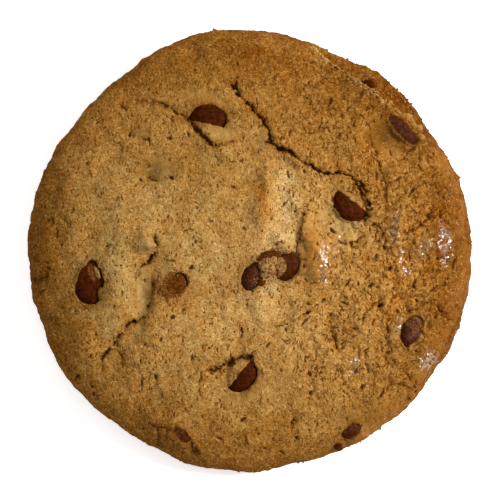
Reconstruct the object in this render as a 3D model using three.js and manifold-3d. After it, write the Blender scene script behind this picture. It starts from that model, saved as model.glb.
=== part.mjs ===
// A round, thick, soft-baked chocolate chip cookie, lying on its flat underside.
// Millimetres, +Z up. The origin is on the underside, under the middle of the cookie's outline.
// The dough is one solid with a pocket for each chip, and each chip that shows is a solid of its own.
import * as THREE from "three";
import { mergeVertices } from "three/addons/utils/BufferGeometryUtils.js";
import Module from "manifold-3d";

// Driving dimensions.
const DIAMETER = 85;
const CROWN_HEIGHT = 12.2; // top of the dough in the middle, before lumps
const WAIST_HEIGHT = 3.6; // height at which the cookie is widest
const FOOT_SHARE = 0.93; // radius of the flat underside, as a share of the outline's
const DOME_POWER = 2.9; // how square the dome's shoulder is: 2 is an ellipse, more is flatter on top
const CHIP_GAP = 0.3; // room between a chip and its pocket
const CHIP_POWER = 2.6; // how square a softened chip's section is: 2 is an ellipse
const CHIP_TAPER = 0.12; // how much narrower a chip's tip is than its base
const RELIEF_FROM = 1.1; // height on the side at which the top's lumps and folds start to show
const RELIEF_FULL = 8.5; // height above which they show in full
const ABOVE_ALL = 36; // height from which chips are dropped onto the top
const SAME_PLACE = 0.001; // corners nearer to each other than this are one corner

// Fineness of the facets.
const SKIN_CELLS = 46; // cells across the dough's upper skin
const CHIP_SIDES = 12;
const CHIP_RINGS = 8;

const RADIUS = DIAMETER / 2;
const degrees = THREE.MathUtils.degToRad;
const smoothstep = THREE.MathUtils.smoothstep;

// Places where the outline is flatter than a circle: the angle of the middle, the half width there, the depth.
const OUTLINE_FLATS = [
  { at: 34, half: 13, depth: 1.2 },
  { at: 67, half: 12, depth: 1.8 },
  { at: 134, half: 17, depth: 1.5 },
  { at: 238, half: 12, depth: 0.6 },
  { at: 284, half: 16, depth: 0.5 },
];

// Round lumps and dents of the top: centre, spread and rise.
const LUMPS = [
  { x: -4, y: 8, spread: 9, rise: 0.5 }, // the crown, where the dough rose last
  { x: -19, y: 13.5, spread: 3, rise: 0.5 }, // over a chip that doesn't show
  { x: -19.4, y: 2, spread: 2, rise: 0.8 }, // the knob beside the west valley
  { x: 9, y: 7, spread: 4, rise: 0.5 }, // the pale flap north of the middle chips
  { x: 2.5, y: -9, spread: 4, rise: 0.5 },
  { x: -15, y: -22, spread: 7, rise: 0.35 },
  { x: 10, y: -24, spread: 6, rise: 0.4 },
  { x: 31, y: 2, spread: 4, rise: 0.5 },
  { x: 14, y: 24, spread: 6, rise: 0.5 },
  { x: -30, y: 6, spread: 5, rise: 0.35 },
  { x: -14, y: -35.5, spread: 3, rise: 0.7 }, // over the chip at the south-west rim
  { x: 12, y: -4, spread: 3, rise: -0.5 }, // behind the middle chips
  { x: 25, y: 19, spread: 4, rise: -0.6 }, // below the north-east rim's fold
  { x: 17, y: -16, spread: 4, rise: -0.35 },
  { x: -8, y: 19, spread: 3, rise: -0.3 },
];

// Long folds and valleys of the top: a line, the spread to each side, the rise.
const FOLDS = [
  { line: [[10, 39], [19, 34.5], [26, 28.5], [32, 21]], spread: 1.9, rise: 1.0 }, // rim fold, north-east
  { line: [[39, 3], [39, -8], [36, -17], [31, -26]], spread: 1.8, rise: 0.45 }, // rim fold, east
  { line: [[-17.5, 0.5], [-20.5, -6], [-21, -12], [-24, -16], [-28.5, -22]], spread: 1.5, rise: -1.0 }, // west valley
  { line: [[-2, 31], [0, 27], [3.5, 20.5], [9, 17], [14.5, 14.5], [20.5, 13.5]], spread: 1.2, rise: -0.7 }, // north
  { line: [[20.5, 13.5], [22.5, 9], [22.5, 5.5]], spread: 1.2, rise: -0.5 }, // beside the north-east chip
];

// Waves that keep the top from being even: wave length and direction, rise, phase.
const WAVES = [
  { length: 31, towards: 20, rise: 0.16, phase: 0.4 },
  { length: 23, towards: 105, rise: 0.14, phase: 2.1 },
  { length: 14, towards: 60, rise: 0.1, phase: 4.0 },
  { length: 11, towards: 160, rise: 0.09, phase: 1.2 },
];

// The chips that show: place from above, long, wide and tall size, turn of the long side, lean that lifts
// the wide side to its left, and how far the chip's top stands above the dough's skin.
const CHIPS = {
  chip_north: { x: -8.1, y: 25.1, long: 8.2, wide: 7.2, tall: 5, turn: -8, lean: 14, proud: 0.7 },
  chip_north_east: { x: 19.1, y: 8.3, long: 8, wide: 6.6, tall: 5, turn: -42, lean: -14, proud: 0.75 },
  chip_middle_west: { x: 0.7, y: -4.8, long: 7.2, wide: 4.6, tall: 5, turn: 60, lean: 8, proud: 0.9 },
  chip_middle_east: { x: 6.8, y: -3.0, long: 7.2, wide: 5.8, tall: 5, turn: 48, lean: -6, proud: 1.1 },
  chip_west: { x: -30.4, y: -6.3, long: 9.6, wide: 8.0, tall: 5, turn: 82, lean: 10, proud: 0.7 },
  chip_inner_west: { x: -14.5, y: -6.7, long: 7.2, wide: 5.8, tall: 4.6, turn: 35, lean: 0, proud: 0.45 },
  chip_south: { x: -1.7, y: -23.8, long: 7.8, wide: 6.4, tall: 4.8, turn: 52, lean: -14, proud: 0.7 },
  chip_east: { x: 31.1, y: -15.7, long: 7.4, wide: 5, tall: 4.4, turn: 68, lean: 8, proud: 0.6 },
  chip_rim_north_east: { x: 28.4, y: 22.8, long: 8.6, wide: 4.4, tall: 4, turn: -42, lean: 0, proud: 0.6 },
  chip_rim_south_east: { x: 19.3, y: -35, long: 4.8, wide: 3.8, tall: 3.4, turn: 25, lean: 0, proud: 0.5 },
  chip_rim_south_west: { x: -13.4, y: -35.6, long: 6.4, wide: 4.6, tall: 3.6, turn: -40, lean: 0, proud: 0.5 },
  chip_edge_south: { x: 16.9, y: -37.8, long: 2.8, wide: 2.4, tall: 2.2, turn: 20, lean: 0, proud: 0.5 },
  chip_edge_north_east: { x: 23.3, y: 32.1, long: 3, wide: 2.4, tall: 2.4, turn: -35, lean: 0, proud: 0.4 },
};

const materials = {
  dough: new THREE.MeshStandardMaterial({ color: 0xb07a3c, roughness: 0.85, metalness: 0 }),
  chocolate: new THREE.MeshStandardMaterial({ color: 0x4a2014, roughness: 0.5, metalness: 0 }),
};

// Half of the cookie's section from the top of the crown, over the shoulder and waist, to the foot.
// x is the share of the outline's radius and y the share of the crown's height.
class Section extends THREE.Curve {
  getPoint(t, target = new THREE.Vector2()) {
    const waist = WAIST_HEIGHT / CROWN_HEIGHT;
    if (t <= 0.5) {
      const turn = t * Math.PI;
      const out = Math.sin(turn) ** (2 / DOME_POWER);
      return target.set(out, waist + (1 - waist) * Math.cos(turn) ** (2 / DOME_POWER));
    }
    const turn = (t - 0.5) * Math.PI;
    const out = FOOT_SHARE + (1 - FOOT_SHARE) * Math.cos(turn);
    return target.set(out, waist * (1 - Math.sin(turn)));
  }
}

const section = new Section();
section.arcLengthDivisions = 2000;

// The outline's radius at an angle in radians: a circle with a few flatter stretches.
function outlineRadius(angle) {
  let radius = RADIUS;
  for (const { at, half, depth } of OUTLINE_FLATS) {
    const off = Math.abs(((THREE.MathUtils.radToDeg(angle) - at + 540) % 360) - 180);
    radius -= depth * Math.exp(-((off / half) ** 2));
  }
  return radius;
}

// How far a point is from a line of points.
function distanceToLine(x, y, line) {
  const point = new THREE.Vector3(x, y, 0);
  const nearest = new THREE.Vector3();
  const distances = line.slice(1).map((end, i) => {
    const stretch = new THREE.Line3(new THREE.Vector3(...line[i], 0), new THREE.Vector3(...end, 0));
    return stretch.closestPointToPoint(point, true, nearest).distanceTo(point);
  });
  return Math.min(...distances);
}

// How far lumps, folds and waves lift the top at a place.
function relief(x, y) {
  let rise = 0;
  for (const lump of LUMPS) {
    rise += lump.rise * Math.exp(-((Math.hypot(x - lump.x, y - lump.y) / lump.spread) ** 2));
  }
  for (const fold of FOLDS) {
    rise += fold.rise * Math.exp(-((distanceToLine(x, y, fold.line) / fold.spread) ** 2));
  }
  for (const wave of WAVES) {
    const along = x * Math.cos(degrees(wave.towards)) + y * Math.sin(degrees(wave.towards));
    rise += wave.rise * Math.sin((2 * Math.PI * along) / wave.length + wave.phase);
  }
  return rise;
}

// A point of the upper skin. The square from -1 to 1 is wrapped onto the cookie in even rings, from the crown
// in the square's middle to the foot at its edge.
function skinPoint(u, v) {
  const steep = Math.abs(v) > Math.abs(u);
  const reach = Math.max(Math.abs(u), Math.abs(v));
  const share = reach === 0 ? 0 : (Math.PI / 4) * (steep ? u / v : v / u);
  const turn = steep ? Math.PI / 2 - share : share;
  const angle = (steep ? v : u) < 0 ? turn + Math.PI : turn;
  const at = section.getPointAt(reach);
  const radius = at.x * outlineRadius(angle);
  const x = radius * Math.cos(angle);
  const y = radius * Math.sin(angle);
  const lifted = smoothstep(at.y * CROWN_HEIGHT, RELIEF_FROM, RELIEF_FULL);
  return new THREE.Vector3(x, y, at.y * CROWN_HEIGHT + lifted * relief(x, y));
}

// The numbers of the grid's outermost points, in order round the edge.
function rimOfGrid(cells) {
  const row = cells + 1;
  const steps = Array.from({ length: cells }, (_, i) => i);
  return [
    ...steps.map((i) => i),
    ...steps.map((i) => cells + i * row),
    ...steps.map((i) => cells * row + cells - i),
    ...steps.map((i) => (cells - i) * row),
  ];
}

// The dough before the pockets are cut: the upper skin, closed by a flat underside.
function doughGeometry() {
  const grid = new THREE.PlaneGeometry(2, 2, SKIN_CELLS, SKIN_CELLS);
  const square = grid.getAttribute("position");
  const places = [];
  for (let i = 0; i < square.count; i++) {
    places.push(...skinPoint(square.getX(i), square.getY(i)).toArray());
  }
  const middle = square.count;
  places.push(0, 0, 0);
  const rim = rimOfGrid(SKIN_CELLS);
  const underside = rim.flatMap((point, i) => [point, rim[(i + 1) % rim.length], middle]);
  const geometry = new THREE.BufferGeometry();
  geometry.setAttribute("position", new THREE.Float32BufferAttribute(places, 3));
  geometry.setIndex([...grid.index.array, ...underside]);
  geometry.computeBoundingBox();
  const centre = geometry.boundingBox.getCenter(new THREE.Vector3());
  return geometry.translate(-centre.x, -centre.y, 0);
}

// A chip, softened by baking into a rounded drop that is broadest below its middle. It can be made grown by
// the same amount on every side.
function chipGeometry(chip, grown = 0) {
  const squared = (share) => Math.sign(share) * Math.abs(share) ** (2 / CHIP_POWER);
  const profile = [];
  for (let ring = 0; ring <= CHIP_RINGS; ring++) {
    const turn = (ring / CHIP_RINGS) * Math.PI;
    const out = squared(Math.sin(turn)) * (1 + CHIP_TAPER * Math.cos(turn));
    profile.push(new THREE.Vector2(ring % CHIP_RINGS ? out / 2 : 0, -squared(Math.cos(turn)) / 2));
  }
  return new THREE.LatheGeometry(profile, CHIP_SIDES)
    .rotateX(Math.PI / 2)
    .scale(chip.long + 2 * grown, chip.wide + 2 * grown, chip.tall + 2 * grown);
}

// Stands a chip in the dough: under the skin's point at its place, along the skin's own slope.
function placeOnSkin(mesh, chip, dough) {
  const above = new THREE.Vector3(chip.x, chip.y, ABOVE_ALL);
  const ray = new THREE.Raycaster(above, new THREE.Vector3(0, 0, -1));
  const [hit] = ray.intersectObject(dough);
  const slope = new THREE.Quaternion().setFromUnitVectors(new THREE.Vector3(0, 0, 1), hit.face.normal);
  const turn = new THREE.Quaternion().setFromAxisAngle(new THREE.Vector3(0, 0, 1), degrees(chip.turn));
  const lean = new THREE.Quaternion().setFromAxisAngle(new THREE.Vector3(1, 0, 0), degrees(chip.lean));
  mesh.quaternion.copy(slope).multiply(turn).multiply(lean);
  mesh.position.copy(hit.point).addScaledVector(hit.face.normal, chip.proud - chip.tall / 2);
  mesh.updateMatrixWorld(true);
}

const wasm = await Module();
wasm.setup();

// A closed geometry as a manifold-3d solid, in the cookie's own frame.
function solidFrom(geometry, matrix = new THREE.Matrix4()) {
  const bare = new THREE.BufferGeometry();
  bare.setAttribute("position", geometry.getAttribute("position").clone());
  bare.setIndex(geometry.getIndex());
  const merged = mergeVertices(bare.applyMatrix4(matrix), SAME_PLACE);
  const vertProperties = new Float32Array(merged.getAttribute("position").array);
  const triVerts = new Uint32Array(merged.getIndex().array);
  return new wasm.Manifold(new wasm.Mesh({ numProp: 3, vertProperties, triVerts }));
}

function geometryFrom(solid) {
  const { vertProperties, triVerts } = solid.getMesh();
  const geometry = new THREE.BufferGeometry();
  geometry.setAttribute("position", new THREE.BufferAttribute(vertProperties, 3));
  geometry.setIndex(new THREE.BufferAttribute(triVerts, 1));
  geometry.computeVertexNormals();
  return geometry;
}

function buildCookie() {
  const cookie = new THREE.Group();
  const dough = new THREE.Mesh(doughGeometry(), materials.dough);
  dough.name = "dough";
  cookie.add(dough);

  let pocketed = solidFrom(dough.geometry);
  for (const [name, chip] of Object.entries(CHIPS)) {
    const mesh = new THREE.Mesh(chipGeometry(chip), materials.chocolate);
    mesh.name = name;
    placeOnSkin(mesh, chip, dough);
    cookie.add(mesh);
    pocketed = pocketed.subtract(solidFrom(chipGeometry(chip, CHIP_GAP), mesh.matrixWorld));
  }
  dough.geometry = geometryFrom(pocketed);
  return cookie;
}

export default buildCookie();
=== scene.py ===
"""The looks of a chocolate chip cookie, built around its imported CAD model.

The dough is one fine skin wrapped over the CAD dough, with cracks, pits, a rim and an opening over each chip.
Each chip is a finer copy of its CAD solid. Small bits of chocolate and loose crumbs are joined meshes.
Lengths in this script are millimetres in the cookie's own frame, and MM turns them into metres.
"""
import itertools
import math

import bmesh
import bpy
import numpy as np
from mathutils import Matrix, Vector
from mathutils.bvhtree import BVHTree

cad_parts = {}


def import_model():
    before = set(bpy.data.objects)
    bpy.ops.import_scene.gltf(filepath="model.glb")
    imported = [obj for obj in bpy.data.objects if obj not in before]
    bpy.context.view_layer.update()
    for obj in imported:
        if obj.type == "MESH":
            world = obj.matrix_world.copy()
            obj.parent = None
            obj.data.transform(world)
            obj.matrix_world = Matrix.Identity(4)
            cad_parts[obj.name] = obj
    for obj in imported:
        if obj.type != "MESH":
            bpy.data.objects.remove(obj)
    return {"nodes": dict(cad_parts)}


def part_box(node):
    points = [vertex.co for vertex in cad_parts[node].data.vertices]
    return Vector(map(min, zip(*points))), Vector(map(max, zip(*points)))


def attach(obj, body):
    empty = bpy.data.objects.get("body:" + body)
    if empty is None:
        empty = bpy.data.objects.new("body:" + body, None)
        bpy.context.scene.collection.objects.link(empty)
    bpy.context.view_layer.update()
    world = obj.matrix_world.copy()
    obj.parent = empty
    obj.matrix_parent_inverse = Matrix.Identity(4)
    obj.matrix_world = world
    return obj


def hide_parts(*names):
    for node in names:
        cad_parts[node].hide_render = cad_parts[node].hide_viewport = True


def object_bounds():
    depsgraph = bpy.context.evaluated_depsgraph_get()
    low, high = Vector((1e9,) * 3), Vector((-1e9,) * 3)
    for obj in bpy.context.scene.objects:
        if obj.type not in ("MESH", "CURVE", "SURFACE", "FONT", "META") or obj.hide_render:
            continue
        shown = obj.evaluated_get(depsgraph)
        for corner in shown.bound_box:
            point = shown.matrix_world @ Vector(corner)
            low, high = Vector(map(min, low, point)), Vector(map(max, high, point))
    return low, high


MM = 0.001

# ---- the dough's skin
SKIN_CELLS = 540  # cells across the upper skin, before it is thinned where it is even
BASE_CELLS = 90  # cells across the underside: the skin's number divides by it
DOUGH_TRIANGLES = 194000  # what is left of the dough's triangles after thinning
CORE_INSET = 6.0  # how far inside the outline the rays over the shoulder start
CORE_HEIGHT = 5.0  # height of the points that the rays run out from
FOOT_TURN = -60.0  # the direction of the lowest rays, in degrees above level
SKIN_EVENING = 90  # rounds of smoothing that take the facets out of the CAD skin
LUMP_EVENING = 12  # rounds of smoothing that take the small relief out of the finished skin
RAY_START = 30.0  # how far outside the core the rays towards the CAD skin start
BASE_INSET = 0.5  # how far inside the skin's lower edge the underside starts

# Relief that covers the whole skin: its size, its height, its shift through the noise.
RELIEF = [
    (9, 0.42, 407),
    (4.2, 0.33, 444),
    (2.1, 0.15, 481),
    (1.1, 0.11, 518),
    (0.6, 0.075, 555),
]
FINE_RELIEF = 3  # relief below this size is stronger where the crust has crackled

# Swells and hollows: place, half long and half wide size, turn in degrees, height.
SWELLS = [
    (12.8, -1, 7.5, 2.6, 96, 1.3),
    (3, -3.6, 5, 3.4, 20, 0.6),
    (9, 1.4, 5.4, 1.2, 94, -0.7),
    (6.2, 0.8, 2.6, 1.3, 130, 0.9),
    (9.4, 9, 6, 1.8, 80, 0.25),
    (8.6, 17, 3, 1.4, -35, 0.5),
    (17.6, 6.4, 5.2, 4.6, 0, -0.8),
    (-25.4, -4, 9, 2.4, 84, 0.9),
    (-20.2, -8.6, 6, 1.6, 82, -1),
    (-19.6, 1.4, 1.8, 1.5, 60, 1.2),
    (-14.4, -7, 4.2, 3.4, 38, 0.5),
    (8.4, -12.4, 5.4, 1.3, 28, 0.7),
    (1.8, -10.5, 1.8, 3, 0, 0.35),
    (-7.6, 21.4, 3.4, 1.3, -20, 0.6),
    (-5.6, -19.6, 3.4, 1, 25, 0.5),
    (33, -15, 5.4, 3.2, 60, 0.5),
    (34.4, 1, 5, 2.6, 80, 0.7),
    (20.3, 23, 1.4, 6, -10, 0.6),
    (25.6, 15, 6, 1.6, 75, -0.5),
    (-38.2, 4, 1.7, 2.3, 0, 0.6),
    (-2, 12, 9, 6, 70, -0.5),
    (2.6, 9.5, 7, 1.5, 84, 0.8),
    (6.4, 10.5, 7, 1.8, 88, -0.45),
    (9.6, 12, 4, 2, 60, 0.25),
    (-4, 18, 6, 1.6, -25, 0.5),
    (1.2, 37.7, 2.6, 1, 5, 0.5),
    (-17.5, 36, 6.5, 1.2, 38, 0.7),
    (-20, 33, 6, 1.2, 38, -0.5),
    (2, -16, 6, 1.6, 70, 0.5),
    (6, -12, 3, 2, 20, -0.5),
    (-34, 6, 7, 2.2, 95, 0.5),
    (-28, 16, 7, 2.2, 60, -0.5),
    (24.4, -14, 5, 1.8, 100, -0.6),
    (28, 3, 4, 1.6, 80, 0.6),
    (-18.5, 15, 3.6, 2.6, 20, -0.5),
    (16, -16, 4, 1.2, 100, -0.45),
    (20.6, -12.4, 4, 1.4, 120, 0.5),
    (24, -22, 3, 1.8, 40, 0.5),
    (-32, -16, 6, 2, 110, 0.4),
    (-12, -27, 5, 2.2, 20, 0.4),
    (2, 33, 6, 1.6, 10, 0.4),
]
SWELL_STRENGTH = 1.25  # times the heights above

# The lip at the north-east, where the crust ends above a lower, crumbly shelf.
NORTH_EAST_LIP = [(11.5, 39.4), (14, 36.6), (16.9, 34.5), (19.8, 32.6), (22.2, 31.3)]
NORTH_EAST_LIP += [(24.6, 29.5), (27.4, 27.1), (30.2, 25.6), (33.6, 21.4)]
SHELF_DROP = 1.7  # how far the shelf lies below the lip
SKIRT_WAY = -28  # the direction of the thin skirt's middle, in degrees
SKIRT_LINE = 7.0  # height of the furrow above the skirt
ROUGHEST_WAY = 20  # the direction in which the side is most crumbly, in degrees
GLOSSIEST_WAY = -12  # the direction in which the rim is smooth and shines, in degrees

# Cracks: points along the line, half its width, its depth.
CRACKS = {
    "north_hole": ([(-3.6, 31.3), (-2.6, 30.9), (-2.2, 29.6)], 0.42, 1.5),
    "north_hole_up": ([(-2.7, 30.8), (-2.8, 32.3)], 0.14, 0.8),
    "north_thread": ([(-2.2, 29.6), (-1.2, 28.6), (-0.6, 27.9)], 0.09, 0.5),
    "north_start": ([(-0.6, 27.9), (1.2, 25.8), (2.2, 25.2), (3.4, 23.2), (4, 20.8)], 0.26, 1.2),
    "north_knot": ([(2.4, 20.6), (4.1, 20.4), (5.4, 19.3)], 0.32, 1),
    "north_middle": ([(5.4, 19.3), (8.1, 18.5), (9.2, 17.2), (12.8, 15.4)], 0.31, 1.2),
    "north_end": ([(12.8, 15.4), (14.6, 14.2), (17, 14.7), (19.8, 13.9), (21.2, 12.6)], 0.24, 1),
    "north_east_lip": ([(20.4, 12.6), (21.2, 10.6), (22, 8.6), (22.4, 6.9), (21.2, 6.2)], 0.55, 1.3),
    "north_east_outer": ([(21.4, 12.4), (22.2, 10.4), (22.8, 8.4)], 0.22, 0.8),
    "north_east_inner": ([(19.9, 11.6), (20.6, 10), (21.2, 8.2)], 0.12, 0.6),
    "chip_north_lip": ([(-12.3, 25), (-10.8, 23.7), (-9.4, 22.1), (-7.4, 20.3), (-6.9, 19.8)], 0.48, 1.3),
    "chip_north_lip_end": ([(-6.9, 19.8), (-5, 20.2), (-3.4, 20.6)], 0.12, 0.5),
    "chip_north_tail": ([(-16.9, 28.1), (-15.3, 27.2), (-14.3, 25.9), (-12.6, 25.5)], 0.17, 0.7),
    "knob": ([(-18.4, 3), (-17.8, 1.4), (-17.9, 0), (-18.6, -1.2)], 0.24, 1),
    "knob_foot": ([(-18.8, -1.4), (-19.6, -2.2), (-20.6, -2.9)], 0.50, 1.3),
    "knob_thread": ([(-20.6, -2.9), (-21.3, -4.4), (-21.6, -5.6)], 0.13, 0.6),
    "valley_right": ([(-18.7, -4.4), (-18.4, -7), (-18.8, -8.4)], 0.10, 0.4),
    "valley_dash": ([(-19, -9.4), (-19.4, -10.8)], 0.30, 0.7),
    "valley_hole": ([(-22.4, -13.6), (-23.6, -14.8)], 0.48, 1.5),
    "valley_end": ([(-19.9, -12.6), (-21.2, -13.2), (-22.4, -13.8)], 0.10, 0.4),
    "west_tail": ([(-23.8, -15.2), (-25.6, -17.4), (-26.8, -18.8)], 0.18, 0.6),
    "west_tail_dark": ([(-26.2, -18.2), (-27.4, -19.8), (-28.2, -20.8)], 0.34, 1),
    "west_tail_end": ([(-28.2, -20.8), (-28.3, -22.8)], 0.12, 0.5),
    "west_fold": ([(-25.6, -17.4), (-24.8, -20.1), (-24.4, -22.2)], 0.14, 0.5),
    "chip_south_back": ([(-7.2, -23.1), (-5, -22), (-3.2, -21.2), (-1.8, -20.4), (0.2, -20.6)], 0.60, 1.3),
    "chip_south_inner": ([(-5.6, -23.3), (-4, -22.3), (-2.6, -21.9)], 0.10, 0.5),
    "south_west": ([(-8.9, -23.4), (-9.9, -25.8), (-9.2, -27.6)], 0.13, 0.6),
    "middle_step": ([(10.1, 6.7), (9.6, 3.6), (9, 0.6), (9.1, -2.5), (8.4, -4.3)], 0.11, 0.4),
    "middle_flap": ([(4.4, 1), (5.8, 1.9), (6.9, 1.4)], 0.12, 0.5),
    "south_east_furrow": ([(15.2, -12), (15.7, -15.6), (16.6, -18.9)], 0.20, 0.7),
    "east_short": ([(23.2, 4.9), (24.4, 4.3), (25.3, 3.2)], 0.13, 0.7),
    "east_long": ([(34.6, 7.8), (33.4, 5.6), (32.6, 4.5), (30.7, 4)], 0.16, 0.8),
    "chip_east_arc": ([(30, -11.8), (31.9, -11.1), (32.9, -10.3), (34.6, -9.8)], 0.16, 0.8),
    "chip_east_arc_end": ([(35.3, -10.2), (36.6, -12.1), (37.9, -13.4)], 0.14, 0.7),
    "south_east_short": ([(27.3, -25.4), (29.2, -25.7), (30.2, -26.6)], 0.14, 0.7),
    "south_west_fold": ([(-17.3, -33.6), (-14.3, -34.3), (-11.7, -36.1), (-10.1, -38.2)], 0.15, 0.6),
    "south_west_rim": ([(-17.6, -33.6), (-17.5, -37.2)], 0.11, 0.6),
    "west_rim": ([(-41.4, -5.7), (-39, -5.2), (-38.9, -4.4)], 0.13, 0.6),
    "blister": ([(-38.6, 6), (-37, 5), (-36.5, 3.6), (-37, 2.2)], 0.16, 0.5),
    "north_west_1": ([(-20.2, 21), (-19.3, 21), (-19, 19.6)], 0.16, 0.8),
    "north_west_2": ([(-24.8, 27.6), (-24, 26.8), (-23.2, 26.6)], 0.11, 0.5),
    "north_west_3": ([(-21.8, 28.8), (-20.2, 28.2), (-18.2, 28.4)], 0.10, 0.4),
    "hidden_chip_1": ([(-19.4, 13.8), (-18.6, 13.4), (-18.2, 12.9)], 0.16, 0.8),
    "south_centre": ([(-1.9, -14.3), (-1.5, -15.4), (-1.9, -17)], 0.13, 0.6),
    "south_left": ([(-9.3, -18), (-8.2, -18.2), (-7.7, -18.6)], 0.11, 0.5),
    "south_dash": ([(8.4, -32), (7.9, -33.2), (7.5, -34)], 0.20, 0.8),
    "south_thin": ([(-1, -34.8), (-0.9, -37.2)], 0.10, 0.5),
    "east_dash": ([(26.4, -13.2), (26.2, -15.8)], 0.14, 0.7),
    "east_furrow": ([(22.9, 21.2), (24.2, 17.5), (25.5, 13.4), (25.9, 10.9)], 0.15, 0.5),
    "east_dashes": ([(24.6, -9.6), (22.4, -11.6), (21.6, -13.4)], 0.14, 0.7),
    "collar_south": ([(17, 1.7), (18.6, 1.2), (20.4, 1.6), (21.6, 2.8)], 0.21, 0.6),
    "collar_east": ([(23.4, 5.2), (23.9, 3.4), (24.4, 1.6)], 0.19, 0.6),
    "shelf_line": ([(14.5, 36), (19.8, 32.4), (24.6, 29.3), (29.4, 25.9)], 0.10, 0.3),
    "south_fold": ([(5, -14.6), (8.6, -13.2), (11.4, -11.4)], 0.10, 0.3),
}
CRACK_REACH = 5  # how far round a crack the dough is changed
LIFT_SPREAD = 2.2  # how far from a crack its lifted side falls away

# How far a crack's left side stands above its right, where the two differ.
LIFTS = {
    "north_start": 0.2,
    "north_knot": 0.2,
    "north_middle": 0.5,
    "north_end": 0.3,
    "north_east_lip": 0.3,
    "middle_step": 0.5,
    "middle_flap": 0.2,
    "south_west_fold": 0.25,
    "blister": -0.1,
    "east_furrow": 0.3,
    "south_fold": 0.25,
}

# Single holes: place, long and wide size, turn in degrees, depth.
HOLES = [
    (-23, 22.2, 1.1, 0.6, 70, 0.9),
    (-15.5, 21.3, 1.3, 0.8, 20, 0.7),
    (-15.1, 13.7, 1, 0.7, -20, 1.1),
    (-19.6, 16, 1, 0.5, 10, 0.6),
    (-20.9, 13.3, 1.1, 0.4, -50, 0.7),
    (-33, -24.3, 1.1, 0.7, 60, 0.8),
    (-18, -24.2, 1.4, 0.8, -70, 0.8),
    (-20.7, -25.3, 1.7, 0.4, 88, 0.8),
    (-20.3, -18.1, 1.1, 0.4, 50, 0.8),
    (-7.7, -14, 0.9, 0.5, 80, 0.6),
    (-5.9, -36, 1.2, 0.5, -20, 0.7),
    (10.6, 29, 1.4, 0.6, 15, 0.8),
    (5.2, 11.5, 0.9, 0.35, 80, 0.6),
    (6.6, 9, 1.6, 0.45, 45, 0.8),
    (4.1, 6, 1, 0.4, 75, 0.7),
    (8.4, 7.2, 0.8, 0.4, 60, 0.6),
    (15.7, 3.6, 1.3, 0.6, -50, 1.1),
    (19.7, -15, 1.4, 0.35, -10, 0.7),
    (24.8, -10.6, 1.2, 0.9, 30, 1),
    (23, -6.8, 1.3, 0.6, 35, 0.8),
    (27.4, -9, 1.8, 0.6, 40, 0.7),
    (24, -20.6, 1.2, 0.5, 85, 0.9),
    (11.4, -27.3, 1, 0.6, 60, 0.8),
    (21.3, -26.2, 1.4, 0.7, 50, 0.7),
    (8.8, -35.9, 0.9, 0.6, 80, 0.8),
    (2.8, -37.9, 0.9, 0.4, -40, 0.6),
    (-33.4, -11.6, 0.9, 0.5, 0, 0.5),
    (26.6, -3.6, 0.9, 0.7, 30, 0.8),
    (-38.6, -3.6, 1.1, 0.5, -40, 0.7),
    (29.6, 27.8, 1, 0.5, -40, 0.6),
    (13.9, -9.6, 0.9, 0.6, 50, 0.7),
    (10.9, -11.9, 0.8, 0.6, 50, 0.7),
    (-27.2, 0.7, 1.4, 0.6, 30, 0.5),
    (-15.9, -2, 1, 0.4, -10, 0.6),
    (-14.7, -2.1, 0.9, 0.5, -35, 0.7),
    (-11.3, -3.4, 1.2, 0.9, 20, 0.7),
    (-10.3, 1.6, 0.8, 0.4, -50, 0.5),
    (-9.4, 1.5, 0.8, 0.4, 50, 0.5),
    (-9.7, 0.6, 1, 0.4, -30, 0.5),
    (-21.4, 3.9, 0.6, 0.5, 0, 0.5),
    (25.6, 0.4, 1.1, 0.5, -60, 0.7),
    (17.3, -1.4, 1.2, 0.4, -80, 0.6),
]

# Openings in the skin through which a chip shows. Each oval is a place from the chip's middle, half its long
# and wide size and its turn in degrees. open is the open ovals. keep cuts them straight through the middle of
# the first: it is the direction of the side that stays open. patches are ovals of dough left on the chip.
# film is an oval of thin dough on it, and how thick that is. room is how far the dough lies below the chip,
# where that isn't ROOM_IN_WINDOW.
WINDOWS = {
    "chip_north": {"open": [(-0.1, -0.9, 4, 3.6, -13)], "keep": 77},
    "chip_north_east": {"open": [(0.8, 1, 3.9, 3.6, -37)], "keep": 233},
    "chip_middle_west": {
        "open": [(0, -0.1, 3.6, 1.9, 55), (2.7, 1.7, 3, 2.2, 30)],
        "film": (0.6, 1.9, 1.2, 0.7, 50, 0.6),
    },
    "chip_middle_east": {"open": [(-0.9, -0.3, 3.8, 3.3, 40)], "film": (-2.2, -0.2, 2.7, 2.4, 35, 1)},
    "chip_west": {
        "open": [(0.1, -1.4, 3.4, 3, 0), (-0.2, 0.8, 2.7, 2.4, 90), (-0.1, 2.6, 2.5, 1.1, 86)],
        "patches": [(0.9, 2, 1.5, 0.5, 108), (1.6, -2, 1.2, 0.6, 78)],
        "film": (0, 2, 2.2, 1, 110, 0.8),
    },
    "chip_inner_west": {
        "open": [(0.7, 0.5, 2.5, 1.7, 38)],
        "film": (-0.4, -0.2, 3.4, 2.4, 38, 0.72),
        "room": 0.2,
    },
    "chip_south": {"open": [(-0.7, -0.2, 3.8, 3.7, 51)], "keep": -39},
    "chip_east": {"open": [(-0.2, -0.1, 3.5, 1.8, 57)]},
    "chip_rim_north_east": {"open": [(0.9, -0.3, 4, 1.15, -46)]},
    "chip_rim_south_east": {"open": [(0.3, -0.1, 2.1, 1, 30)]},
    "chip_rim_south_west": {"open": [(0.2, 0, 1.9, 0.8, -40)]},
    "chip_edge_south": {"open": [(0.1, -0.3, 0.8, 0.65, 20)], "room": 0.4},
    "chip_edge_north_east": {"open": [(0, 0.1, 1.1, 0.6, -20)]},
}
SKIN_OVER_CHIP = 0.18  # thickness of the dough that covers a chip beside its opening
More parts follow.
